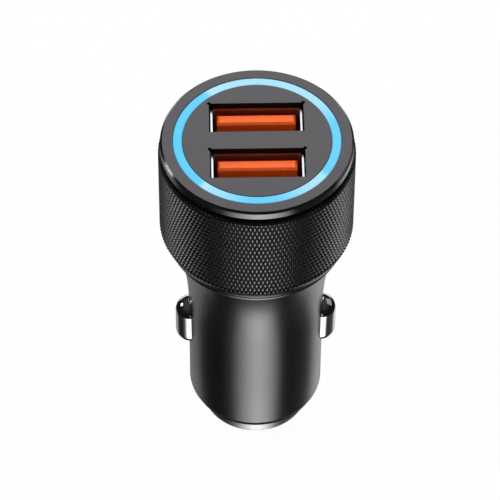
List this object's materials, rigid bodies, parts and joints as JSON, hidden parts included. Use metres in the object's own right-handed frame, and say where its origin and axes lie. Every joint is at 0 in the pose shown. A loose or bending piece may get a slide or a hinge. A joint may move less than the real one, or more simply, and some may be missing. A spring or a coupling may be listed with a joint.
{
  "type": "car usb charger plug",
  "caption": "Round plug for a 12 V car socket, with a knurled head, a lit ring and USB sockets in its flat face, a flared body, sprung side contacts and a sprung pin in the nose.",
  "frame": {"origin": "on the axis, at the lower end of the barrel's straight wall", "axes": "+Z along the axis from the nose to the face with the sockets; +X along the long side of the sockets and through a side contact; the tongue of each socket lies towards +Y"},
  "size_m": [0.0282, 0.0282, 0.0613],
  "materials": {
    "black_aluminium": "satin black anodised",
    "face_plastic": "fine matte",
    "ring_clear": "clear, lit from below",
    "lamp_resin": "gloss",
    "socket_steel": "bright rolled",
    "orange_insulator": "satin",
    "contact_brass": "plated",
    "bright_plate": "polished",
    "spring_steel": "plain",
    "board_laminate": "satin",
    "bush_plastic": "matte",
    "ferrite": "matte",
    "can_aluminium": "satin",
    "moulded_epoxy": "matte",
    "fuse_ceramic": "matte"
  },
  "bodies": {
    "body": {"housing": "black_aluminium", "knurled_sleeve": "black_aluminium", "face_plate": "face_plastic", "light_ring": "ring_clear", "ring_leds": "lamp_resin", "usb_shell_back": "socket_steel", "usb_shell_front": "socket_steel", "usb_tongue_back": "orange_insulator", "usb_tongue_front": "orange_insulator", "usb_terminals_back": "contact_brass", "usb_terminals_front": "contact_brass", "tip_terminal": "contact_brass", "nose_cap": "bright_plate", "tip_spring": "spring_steel", "contact_leaf_left": "spring_steel", "contact_leaf_right": "spring_steel", "usb_board": "board_laminate", "main_board": "board_laminate", "nose_bush": "bush_plastic", "power_inductor": "ferrite", "input_capacitor": "can_aluminium", "output_capacitor": "moulded_epoxy", "converter_chip": "moulded_epoxy", "rectifier_diode": "moulded_epoxy", "fuse": "fuse_ceramic"},
    "tip": {"tip_pin": "bright_plate"},
    "left_contact": {"side_contact_left": "bright_plate"},
    "right_contact": {"side_contact_right": "bright_plate"}
  },
  "joints": [
    {"name": "tip_slide", "type": "slide", "parent": "body", "child": "tip", "axis": [0, 0, 1], "range_m": [0, 0.003], "stiffness_N_per_m": 1000, "springref_m": -0.003, "deforming": ["tip_spring"]},
    {"name": "left_contact_slide", "type": "slide", "parent": "body", "child": "left_contact", "axis": [1, 0, 0], "range_m": [0, 0.0015], "stiffness_N_per_m": 1500, "springref_m": -0.001, "deforming": ["contact_leaf_left"]},
    {"name": "right_contact_slide", "type": "slide", "parent": "body", "child": "right_contact", "axis": [-1, 0, 0], "range_m": [0, 0.0015], "stiffness_N_per_m": 1500, "springref_m": -0.001, "deforming": ["contact_leaf_right"]}
  ]
}
